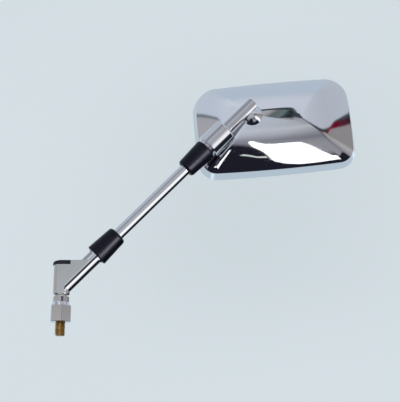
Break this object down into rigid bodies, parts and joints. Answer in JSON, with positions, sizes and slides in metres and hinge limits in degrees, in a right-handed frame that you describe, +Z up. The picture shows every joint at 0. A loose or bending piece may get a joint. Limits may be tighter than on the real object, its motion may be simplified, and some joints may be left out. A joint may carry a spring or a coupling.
{
  "type": "motorcycle mirror",
  "caption": "Chromed rectangular motorcycle mirror, left side, on a straight arm with a ball joint at the head, rubber boots and a swivelling base with a threaded stud.",
  "frame": {"origin": "on the stud's axis at the underside of the hex, where the handlebar perch seats", "axes": "+Z up along the stud, +X towards the head in the arm's plane, +Y the way the glass looks"},
  "size_m": [0.3134, 0.0508, 0.2826],
  "materials": {
    "chromed_steel": "polished",
    "yellow_zinc_steel": "satin",
    "bright_steel": "satin",
    "cast_aluminium": "matte",
    "black_rubber": "satin",
    "black_plastic": "satin",
    "nylon": "satin",
    "foam": "matte",
    "mirror_glass": "polished"
  },
  "bodies": {
    "mount": {"mount_stud": "yellow_zinc_steel", "hex_adapter": "chromed_steel", "friction_washer": "nylon", "thrust_washer": "bright_steel", "disc_springs": "bright_steel", "swivel_nut": "bright_steel"},
    "base": {"base_casting": "chromed_steel", "base_cap": "black_plastic"},
    "arm": {"arm_rod": "chromed_steel", "lock_nut": "bright_steel", "lower_boot": "black_rubber", "upper_boot": "black_rubber"},
    "ball_seat": {"front_seat": "nylon", "rear_seat": "nylon"},
    "head": {"gland_nut": "chromed_steel", "ball_spring": "bright_steel", "neck_socket": "chromed_steel", "clamp_block": "cast_aluminium", "neck_screws": "bright_steel", "shell": "chromed_steel", "glass": "mirror_glass", "glass_gasket": "black_rubber", "backing_pad": "foam"}
  },
  "joints": [
    {"name": "base_swivel", "type": "hinge", "parent": "mount", "child": "base", "pos_m": [0, 0, 0], "axis": [0, 0, 1], "continuous": true},
    {"name": "arm_turn", "type": "hinge", "parent": "base", "child": "arm", "pos_m": [0, 0, 0.0323], "axis": [0.7009, 0, 0.7133], "range_deg": [-90, 90]},
    {"name": "head_tilt", "type": "hinge", "parent": "arm", "child": "ball_seat", "pos_m": [0.14999, 0, 0.18494], "axis": [0, 1, 0], "range_deg": [-15, 15], "deforming": ["upper_boot"]},
    {"name": "head_turn", "type": "hinge", "parent": "ball_seat", "child": "head", "pos_m": [0.14999, 0, 0.18494], "axis": [0.7009, 0, 0.7133], "range_deg": [-180, 180]}
  ]
}
